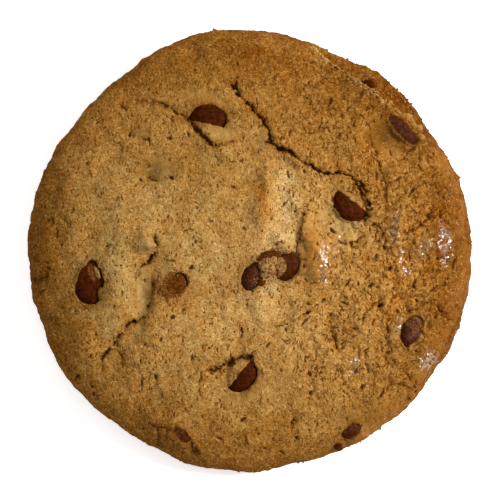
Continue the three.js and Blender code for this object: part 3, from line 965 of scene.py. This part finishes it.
# How each chip's surface differs: dough dust on it (0 to 1), the direction the dust lies in, and grey bloom
# that is partly a painted sheen.
CHIP_LOOKS = {
    "chip_north": (0.06, 250, 0.0),
    "chip_north_east": (0.08, 200, 0.0),
    "chip_middle_west": (0.15, -40, 0.5),
    "chip_middle_east": (0.12, 120, 0.1),
    "chip_west": (0.0, 180, 0.0),
    "chip_inner_west": (0.25, 215, 0.0),
    "chip_south": (0.06, 30, 0.0),
    "chip_east": (0.22, 60, 0.85),
    "chip_rim_north_east": (0.12, 230, 0.35),
    "chip_rim_south_east": (0.22, 120, 0.2),
    "chip_rim_south_west": (0.28, 200, 0.2),
    "chip_edge_south": (0.05, 90, 0.0),
    "chip_edge_north_east": (0.05, 90, 0.0),
}
CHIP_FINENESS = 3  # rounds of subdivision of a chip's CAD solid
EDGE_FILM = 0.7  # how thick the thin dough on a chip is along the edge of its opening
CLEAR_ABOVE = 40  # a height above the whole cookie
CLEAR_OUTSIDE = 60  # a distance from its middle beyond its side
BIT_SINK = 0.28  # how far below the dough a small bit's middle lies, as a share of its height
CRUMB_RISE = 0.1  # how far above the dough a crumb's middle lies, as a share of its length


def make_chip(name, node, noise, seed):
    """A finer copy of a CAD chip: rounded, slightly dented, with dust and a grey bloom that is partly a
    painted sheen.
    """
    build = bmesh.new()
    build.from_mesh(node.data)
    bmesh.ops.remove_doubles(build, verts=build.verts, dist=0.01 * MM)
    for edge in build.edges:
        edge.smooth = True
    mesh = bpy.data.meshes.new(name)
    build.to_mesh(mesh)
    build.free()
    chip = placed(name, mesh)
    finer = chip.modifiers.new("finer", "SUBSURF")
    finer.levels = finer.render_levels = CHIP_FINENESS
    settle_modifiers(chip)
    places = vertex_places(chip.data)
    normals = vertex_normals(chip.data)
    dents = 0.16 * noise(places + seed, 2.6) + 0.07 * noise(places + seed, 1.0)
    dents += 0.03 * noise(places + seed, 0.45)
    chip.data.vertices.foreach_set("co", ((places + normals * dents[:, None]) * MM).ravel())
    chip.data.shade_smooth()
    dust, side, bloom_and_sheen = CHIP_LOOKS[node.name]
    middle = places.mean(axis=0)
    span = np.ptp(places[:, :2], axis=0).max() / 2
    towards = turned(places[:, 0] - middle[0], places[:, 1] - middle[1], side)[0] / span
    patchy = noise(places + 33, 1.4) + 0.6 * noise(places + 35, 0.6)
    centre, _ = middle_and_reach(node.name)
    x, y = places[:, 0] - centre.x, places[:, 1] - centre.y
    window = WINDOWS[node.name]
    beyond = beyond_ovals(x, y, window["open"])
    edge = min(0.7, 0.5 * min(oval[3] for oval in window["open"]))
    film = EDGE_FILM * smoothstep(-edge, 0.1, beyond)
    if "film" in window:
        *oval, thick = window["film"]
        film = np.maximum(film, thick * smoothstep(0.3, -0.4, beyond_oval(x, y, oval)))
    looks = {
        "dust": np.clip(dust * (1 + 1.1 * towards + 0.8 * patchy), 0, 1),
        "bloom_and_sheen": np.clip(bloom_and_sheen * (1 + 0.6 * towards + 0.6 * patchy), 0, 1),
        "film": film,
    }
    hold_looks(chip.data, looks)
    return chip


def lump(noise, size, turn, seed, rings, rough):
    """The points of a small uneven ball, stretched to a size and turned: places and faces."""
    ball = bmesh.new()
    bmesh.ops.create_icosphere(ball, subdivisions=rings, radius=0.5)
    places = np.array([vertex.co[:] for vertex in ball.verts])
    faces = [[vertex.index for vertex in face.verts] for face in ball.faces]
    ball.free()
    places *= (1 + rough * noise(places + seed, 0.5) + 0.5 * rough * noise(places + seed, 0.22))[:, None]
    places *= size
    x, y = turned(places[:, 0], places[:, 1], -turn)
    return np.stack([x, y, places[:, 2]], axis=1), faces


def joined(name, lumps, looks):
    """One mesh from many lumps, each its place, its points and its faces. looks holds a number per lump."""
    places, faces = [], []
    for place, lump_places, lump_faces in lumps:
        faces += [[len(places) + v for v in face] for face in lump_faces]
        places += (lump_places + place).tolist()
    counts = [len(lump_places) for _, lump_places, _ in lumps]
    spread = {look: np.repeat(values, counts) for look, values in looks.items()}
    return mesh_object(name, places, faces, spread)


def met_by_ray(tree, start, way):
    """Where a ray meets a surface, and the way out of the surface there."""
    place, normal, _, _ = tree.ray_cast(start, way)
    return (None, None) if place is None else (np.array(place), np.array(normal))


def surface_at(tree, x, y):
    """What a ray from straight above meets."""
    return met_by_ray(tree, Vector((x, y, CLEAR_ABOVE)), Vector((0, 0, -1)))


def side_at(tree, angle, height):
    """What a level ray from outside meets."""
    way = Vector((math.cos(angle), math.sin(angle), 0))
    return met_by_ray(tree, CLEAR_OUTSIDE * way + Vector((0, 0, height)), -way)


def make_bits(tree, noise):
    """Small bits of chocolate sunk in the dough."""
    lumps = []
    for i, (x, y, long, wide, turn, tall, _) in enumerate(BITS):
        place, _ = surface_at(tree, x, y)
        places, faces = lump(noise, (long, wide, tall), turn, seed=60 + 7 * i, rings=3, rough=0.25)
        lumps.append((place - (0, 0, BIT_SINK * tall), places, faces))
    # The bits get a little grey bloom, partly a painted sheen.
    looks = {"dust": [0.3] * len(BITS), "bloom_and_sheen": [0.1] * len(BITS), "film": [bit[-1] for bit in BITS]}
    return joined("chocolate_bits", lumps, looks)


# Where loose crumbs lie: place, spread along x and y, how many, and their size.
CRUMB_HEAPS = [
    (0, 0, 28, 28, 50, 0.28),
    (22.5, 9.3, 0.4, 1.8, 16, 0.45),
    (-10.0, 22.8, 1.5, 1.2, 12, 0.4),
    (-2.6, -21.0, 2.0, 0.4, 12, 0.42),
    (-16.6, -7.9, 1.2, 1.0, 8, 0.3),
    (31.9, -14.0, 0.8, 0.9, 12, 0.32),
    (2.4, -6.4, 0.8, 0.8, 8, 0.35),
    (3.0, -8.2, 1.4, 0.5, 8, 0.4),
]

# Where crumbs cling to the side: middle angle and spread in degrees, how many, and their size.
FRINGES = [
    (48, 14, 50, 0.50),
    (10, 14, 14, 0.4),
    (-32, 16, 26, 0.5),
    (-95, 24, 24, 0.45),
    (170, 50, 20, 0.35),
]
CRUMB_SEED = 77
LEAST_RISE = 0.3  # loose crumbs lie only where the upward part of the way out is at least this


def crumb(draw, noise, place, normal, size):
    """A lump that sits on a surface: its place, its points and its faces."""
    long = size * draw.uniform(0.5, 1.3)
    shape = (long, long * draw.uniform(0.6, 0.9), long * draw.uniform(0.5, 0.8))
    turn, seed = draw.uniform(0, 180), draw.uniform(0, 500)
    places, faces = lump(noise, shape, turn, seed, rings=2, rough=0.5)
    return place + normal * CRUMB_RISE * long, places, faces


def make_crumbs(tree, noise):
    """Loose crumbs on the top and in the wider cracks, and a fringe of them round the edge."""
    draw = np.random.default_rng(CRUMB_SEED)
    lumps = []
    for angle, spread, count, size in FRINGES:
        for _ in range(count):
            place, normal = side_at(tree, math.radians(draw.normal(angle, spread)), draw.uniform(2.0, 8.0))
            if place is not None:
                lumps.append(crumb(draw, noise, place, normal, size))
    for x, y, spread_x, spread_y, count, size in CRUMB_HEAPS:
        for _ in range(count):
            place, normal = surface_at(tree, draw.normal(x, spread_x), draw.normal(y, spread_y))
            if place is not None and normal[2] >= LEAST_RISE:
                lumps.append(crumb(draw, noise, place, normal, size))
    return joined("crumbs", lumps, {})


# ---- materials

# Colours in linear light.
PALE = (0.72, 0.465, 0.185, 1)
GOLDEN = (0.475, 0.249, 0.064, 1)
BROWN = (0.27, 0.108, 0.014, 1)
TOASTED = (0.12, 0.034, 0.002, 1)
WARM_TINT = (1.06, 0.88, 0.62, 1)
COOL_TINT = (0.92, 1.07, 1.25, 1)
SUGAR = (0.78, 0.52, 0.22, 1)
# PORE and CRACK: darker crumb in pores and cracks, partly painted shade in them.
PORE = (0.115, 0.035, 0.003, 1)
CRACK = (0.036, 0.013, 0.002, 1)
# Grey for the stain and for the painted shade round chips and in hollows.
STAIN_AND_SHADE_TINT = (0.50, 0.50, 0.55, 1)
CHOCOLATE = (0.034, 0.0056, 0.0006, 1)
CHOCOLATE_LIGHT = (0.074, 0.0145, 0.0022, 1)
DUST = (0.25, 0.095, 0.018, 1)
RUST = (0.13, 0.036, 0.003, 1)
FILM = (0.13, 0.039, 0.004, 1)
TAN = (0.42, 0.225, 0.080, 1)
# Grey bloom on chocolate, partly a painted sheen.
BLOOM_AND_SHEEN = (0.105, 0.050, 0.034, 1)


class Nodes:
    """Adds nodes to a new material and links them. Sizes are in millimetres."""

    def __init__(self, name):
        self.material = bpy.data.materials.new(name)
        self.material.use_nodes = True
        self.tree = self.material.node_tree
        self.tree.nodes.clear()
        coordinates = self.add("TexCoord").outputs["Object"]
        scaled = self.add("VectorMath", {"operation": "SCALE"}, Vector=coordinates, Scale=1 / MM)
        self.millimetres = scaled.outputs["Vector"]

    def add(self, kind, settings=None, **inputs):
        node = self.tree.nodes.new("ShaderNode" + kind)
        for setting, value in (settings or {}).items():
            setattr(node, setting, value)
        for name, value in inputs.items():
            self.feed(node.inputs[name.replace("_", " ")], value)
        return node

    def feed(self, socket, value):
        if isinstance(value, bpy.types.NodeSocket):
            self.tree.links.new(value, socket)
        else:
            socket.default_value = value

    def look(self, name):
        """A look that the mesh holds at each vertex."""
        return self.add("Attribute", {"attribute_name": name}).outputs["Fac"]

    def noise(self, size, detail=2.0, rough=0.5):
        node = self.add("TexNoise", Vector=self.millimetres, Scale=1 / size, Detail=detail, Roughness=rough)
        return node.outputs["Fac"]

    def math(self, operation, *values, kind="Math"):
        """A sum on numbers, or on vectors with the kind VectorMath."""
        node = self.add(kind, {"operation": operation})
        for socket, value in zip(node.inputs, values):
            self.feed(socket, value)
        return node.outputs[0]

    def plus(self, first, second):
        return self.math("ADD", first, second)

    def times(self, first, second):
        return self.math("MULTIPLY", first, second)

    def times_plus(self, first, second, third):
        return self.math("MULTIPLY_ADD", first, second, third)

    def bent(self, size, detail, far):
        """The places in millimetres, moved up to far by noise of a size."""
        noise = self.add("TexNoise", Vector=self.millimetres, Scale=1 / size, Detail=detail)
        terms = (noise.outputs["Color"], (far,) * 3, self.millimetres)
        return self.math("MULTIPLY_ADD", *terms, kind="VectorMath")

    def bump(self, height, distance, strength=1.0):
        node = self.add("Bump", Strength=strength, Distance=distance * MM, Height=height)
        return node.outputs["Normal"]

    def spread(self, value, *bounds):
        """A number carried smoothly from one range to another. bounds are low and high, then the new ones."""
        node = self.add("MapRange", {"interpolation_type": "SMOOTHSTEP"}, Value=value)
        for name, number in zip(("From Min", "From Max", "To Min", "To Max"), bounds):
            node.inputs[name].default_value = number
        return node.outputs["Result"]

    def mix(self, share, first, second, blend="MIX"):
        """Two colours mixed. share is how much of the second one there is."""
        node = self.add("Mix", {"data_type": "RGBA", "blend_type": blend})
        for identifier, value in (("Factor_Float", share), ("A_Color", first), ("B_Color", second)):
            self.feed(next(s for s in node.inputs if s.identifier == identifier), value)
        return next(s for s in node.outputs if s.identifier == "Result_Color")

    def ramp(self, value, *colours):
        """A run of colours, evenly spaced from 0 to 1."""
        node = self.add("ValToRGB", Fac=value)
        stops = node.color_ramp.elements
        for _ in colours[2:]:
            stops.new(0.5)
        for i, colour in enumerate(colours):
            stops[i].position = i / (len(colours) - 1)
            stops[i].color = colour
        return node.outputs["Color"]

    def surface(self, colour, roughness, bump, shine, **more):
        """The finished surface. shine is its own reflection, and more is for other inputs of the shader."""
        shader = self.add("BsdfPrincipled", Base_Color=colour, Roughness=roughness, Normal=bump, **more)
        shader.inputs["Specular IOR Level"].default_value = shine
        self.add("OutputMaterial", Surface=shader.outputs["BSDF"])
        return self.material


def pores(nodes, size, share, width, stretch=1.0):
    """Tiny holes scattered by cells of a size, drawn out along Y: 1 inside them."""
    bent = nodes.bent(2.5 * size, 1.0, 1.6 * size)
    squeezed = nodes.math("MULTIPLY", bent, (1, 1 / stretch, 1), kind="VectorMath")
    cells = nodes.add("TexVoronoi", Vector=squeezed, Scale=1 / size, Randomness=1.0)
    picked = nodes.add("SeparateColor", Color=cells.outputs["Color"])
    here = nodes.math("LESS_THAN", picked.outputs["Red"], share)
    wide = nodes.times_plus(picked.outputs["Green"], 0.6 * width, 0.4 * width)
    hole = nodes.math("LESS_THAN", cells.outputs["Distance"], wide)
    return nodes.times(hole, here)


def crackle(nodes, size, width, share, bend=0.45):
    """Short thin cracks along the borders of cells, bent by a share of their size: 1 inside them."""
    bent = nodes.bent(0.6 * size, 3.0, bend * size)
    cells = nodes.add("TexVoronoi", {"feature": "DISTANCE_TO_EDGE"}, Vector=bent, Scale=1 / size)
    line = nodes.spread(cells.outputs["Distance"], width, 0.3 * width)
    kept = nodes.spread(nodes.plus(nodes.noise(0.8 * size, 2.0), share), 0.62, 0.70)
    return nodes.times(line, kept)


def dough_material():
    """Pale to toasted crumb with grain, pores, dark cracks, melted chocolate and a clear glaze in places."""
    nodes = Nodes("baked_dough")
    crackled = nodes.look("crackled")
    rough = nodes.times_plus(nodes.look("smooth"), -0.65, 1.0)
    grain = nodes.times(nodes.plus(nodes.noise(0.30, 2.0, 0.7), -0.5), rough)
    coarse = nodes.times(nodes.plus(nodes.noise(0.62, 2.0, 0.6), -0.5), rough)
    patches = nodes.plus(nodes.noise(1.6, 3.0, 0.6), -0.5)
    bake = nodes.times_plus(patches, 0.38, nodes.look("bake"))
    bake = nodes.times_plus(coarse, nodes.times_plus(crackled, 0.22, 0.58), bake)
    bake = nodes.times_plus(grain, 1.0, bake)
    colour = nodes.ramp(bake, PALE, GOLDEN, BROWN, TOASTED)
    warm = nodes.times_plus(patches, 0.8, nodes.look("warm"))
    colour = nodes.mix(nodes.spread(warm, 0.0, 1.0), colour, WARM_TINT, "MULTIPLY")
    colour = nodes.mix(nodes.spread(warm, 0.0, -1.0), colour, COOL_TINT, "MULTIPLY")
    # Grey tint: partly chocolate stain, partly painted shade round chips and in hollows.
    colour = nodes.mix(nodes.look("stain"), colour, STAIN_AND_SHADE_TINT, "MULTIPLY")
    sugar = nodes.spread(nodes.noise(0.36, 1.0), 0.64, 0.74, 0.0, 0.35)
    colour = nodes.mix(sugar, colour, SUGAR)
    tiny = pores(nodes, 0.52, 0.34, 0.34, 2.0)
    small = pores(nodes, 0.85, 0.40, 0.26, 2.6)
    streaks = nodes.times(pores(nodes, 0.80, 0.50, 0.26, 3.2), crackled)
    cracks = crackle(nodes, 2.2, 0.035, nodes.times(crackled, 0.12))
    holes = nodes.math("MAXIMUM", nodes.math("MAXIMUM", tiny, small), nodes.math("MAXIMUM", streaks, cracks))
    holes = nodes.times(holes, rough)
    # Pores and short cracks drawn dark: partly darker crumb, partly painted shade in them.
    colour = nodes.mix(nodes.times(holes, 0.85), colour, PORE)
    # Cracks and pits drawn dark, near black in their cores: partly darker crumb, partly painted shade in
    # them.
    dark = nodes.look("dark")
    ragged = nodes.times_plus(nodes.noise(0.40, 2.0, 0.6), 1.3, -0.65)
    gap = nodes.spread(nodes.plus(dark, ragged), 0.46, 0.60)
    depth = nodes.mix(nodes.spread(dark, 0.68, 0.92), PORE, CRACK)
    colour = nodes.mix(nodes.times(gap, 0.9), colour, depth)
    smear = nodes.plus(nodes.look("smear"), nodes.times(nodes.plus(grain, coarse), 1.4))
    melted = nodes.mix(nodes.spread(smear, 0.55, 0.85), RUST, nodes.mix(nodes.noise(0.5), CHOCOLATE, DUST))
    colour = nodes.mix(nodes.spread(smear, 0.25, 0.75), colour, melted)
    glaze = nodes.times(nodes.look("gloss"), nodes.spread(nodes.noise(0.9), 0.38, 0.50))
    height = nodes.times_plus(nodes.noise(0.5, 3.0, 0.7), rough, nodes.times(holes, -0.6))
    ripple = nodes.bump(nodes.noise(0.9, 1.0), 0.55)
    coat = {"Coat_Weight": glaze, "Coat_Normal": ripple, "Coat_Roughness": 0.11, "Coat_IOR": 2.0}
    return nodes.surface(colour, 0.85, nodes.bump(height, 0.36), shine=0.01, **coat)


def chocolate_material():
    """Mottled dark chocolate with grey bloom that is partly a painted sheen, dust and a thin cracked film of
    dough on it.
    """
    nodes = Nodes("dark_chocolate")
    mottled = nodes.spread(nodes.noise(0.8, 4.0, 0.65), 0.36, 0.68)
    colour = nodes.mix(mottled, CHOCOLATE, CHOCOLATE_LIGHT)
    greyed = nodes.spread(nodes.noise(0.5, 3.0, 0.7), 0.40, 0.60)
    # Grey bloom, partly a painted sheen.
    colour = nodes.mix(nodes.times(nodes.look("bloom_and_sheen"), greyed), colour, BLOOM_AND_SHEEN)
    speckle = nodes.spread(nodes.plus(nodes.look("dust"), nodes.noise(0.3, 2.0)), 0.75, 1.1)
    colour = nodes.mix(nodes.times(speckle, 0.8), colour, DUST)
    film = nodes.look("film")
    grain = nodes.times_plus(nodes.noise(0.35, 3.0, 0.7), 1.6, -0.8)
    film_there = nodes.spread(nodes.plus(film, grain), 0.55, 0.85)
    dry = crackle(nodes, 2.6, 0.035, 0.22, 0.25)
    film_there = nodes.times(film_there, nodes.times_plus(dry, -0.9, 1.0))
    tan = nodes.mix(nodes.spread(nodes.noise(0.45, 2.0, 0.7), 0.35, 0.65), TAN, FILM)
    colour = nodes.mix(film_there, colour, nodes.mix(nodes.spread(film, 0.7, 1.0), FILM, tan))
    return nodes.surface(colour, 0.6, nodes.bump(nodes.noise(0.5, 3.0), 0.08), shine=0.015)


def crumb_material():
    nodes = Nodes("crumb")
    colour = nodes.ramp(nodes.noise(0.8, 2.0), GOLDEN, BROWN, BROWN, TOASTED)
    return nodes.surface(colour, 0.85, nodes.bump(nodes.noise(0.2, 2.0), 0.1), shine=0.05)


def floor_material():
    nodes = Nodes("pale_floor")
    colour = nodes.mix(nodes.noise(40.0), (0.93, 0.93, 0.93, 1), (0.95, 0.95, 0.95, 1))
    bump = nodes.bump(nodes.noise(2.0), 0.01, strength=0.1)
    glow = {"Emission_Color": (1, 1, 1, 1), "Emission_Strength": 0.64}
    return nodes.surface(colour, 0.9, bump, shine=0.1, **glow)


# ---- stage

CAMERA_RISE = 0.85  # metres above the cookie's widest line
FRAME_SHARE = 0.886  # how much of the picture's width the cookie fills
WAIST = 0.27  # height of the widest line, as a share of the cookie's
FLOOR_HALF = 1.5  # half the floor's width in metres


def make_stage():
    plane = bpy.data.meshes.new("floor")
    corners = [(x * FLOOR_HALF, y * FLOOR_HALF, 0) for x, y in ((-1, -1), (1, -1), (1, 1), (-1, 1))]
    plane.from_pydata(corners, [], [(0, 1, 2, 3)])
    plane.materials.append(floor_material())
    floor = placed("floor", plane)


def make_light(name, azimuth, elevation, far, size, power, middle):
    """A square lamp at a direction seen from the cookie, in degrees from +X and above the floor.

    far and size are in metres, and power is in watts.
    """
    turn, rise = math.radians(azimuth), math.radians(elevation)
    way = Vector((math.cos(turn) * math.cos(rise), math.sin(turn) * math.cos(rise), math.sin(rise)))
    lamp = bpy.data.lights.new(name, "AREA")
    lamp.size = size
    lamp.energy = power
    light = placed(name, lamp)
    light.location = middle + way * far
    light.rotation_euler = (-way).to_track_quat("-Z", "Y").to_euler()


def make_lights(middle):
    make_light("key", azimuth=14, elevation=42, far=0.8, size=0.26, power=8.0, middle=middle)
    make_light("fill", azimuth=120, elevation=62, far=0.9, size=0.7, power=2.0, middle=middle)
    world = bpy.data.worlds.new("soft_room")
    world.use_nodes = True
    background = world.node_tree.nodes["Background"]
    background.inputs["Color"].default_value = (1.0, 1.0, 1.0, 1)
    background.inputs["Strength"].default_value = 0.24
    bpy.context.scene.world = world


def make_camera(low, high):
    """Straight above the cookie, with the cookie as wide in the picture as in the view that it copies."""
    lens = bpy.data.cameras.new("camera")
    lens.sensor_width = 36.0
    width = high.x - low.x
    lens.lens = lens.sensor_width * CAMERA_RISE / (width / FRAME_SHARE)
    camera = placed("camera", lens)
    widest = low.z + WAIST * (high.z - low.z)
    camera.location = ((low.x + high.x) / 2, (low.y + high.y) / 2, widest + CAMERA_RISE)
    bpy.context.scene.camera = camera


def main():
    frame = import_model()
    cad_low, cad_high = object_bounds()
    noise = Noise(5)
    nodes = frame["nodes"]
    make_camera(cad_low, cad_high)

    chocolate = chocolate_material()
    chips = {}
    for i, name in enumerate(WINDOWS):
        chip = make_chip("chocolate_" + name, nodes[name], noise, 13.0 * i)
        chip.data.materials.append(chocolate)
        chips[name] = chip
    dough = make_dough(nodes, chips, noise)
    dough.data.materials.append(dough_material())
    bits = make_bits(tree_of([dough]), noise)
    bits.data.materials.append(chocolate)
    crumbs = make_crumbs(tree_of([dough, *chips.values()]), noise)
    crumbs.data.materials.append(crumb_material())

    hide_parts("dough")
    for name, chip in chips.items():
        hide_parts(name)
        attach(chip, "root")
    for piece in (dough, crumbs, bits):
        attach(piece, "root")

    make_stage()
    make_lights((cad_low + cad_high) / 2)
    bpy.context.scene.view_settings.view_transform = "Standard"


main()
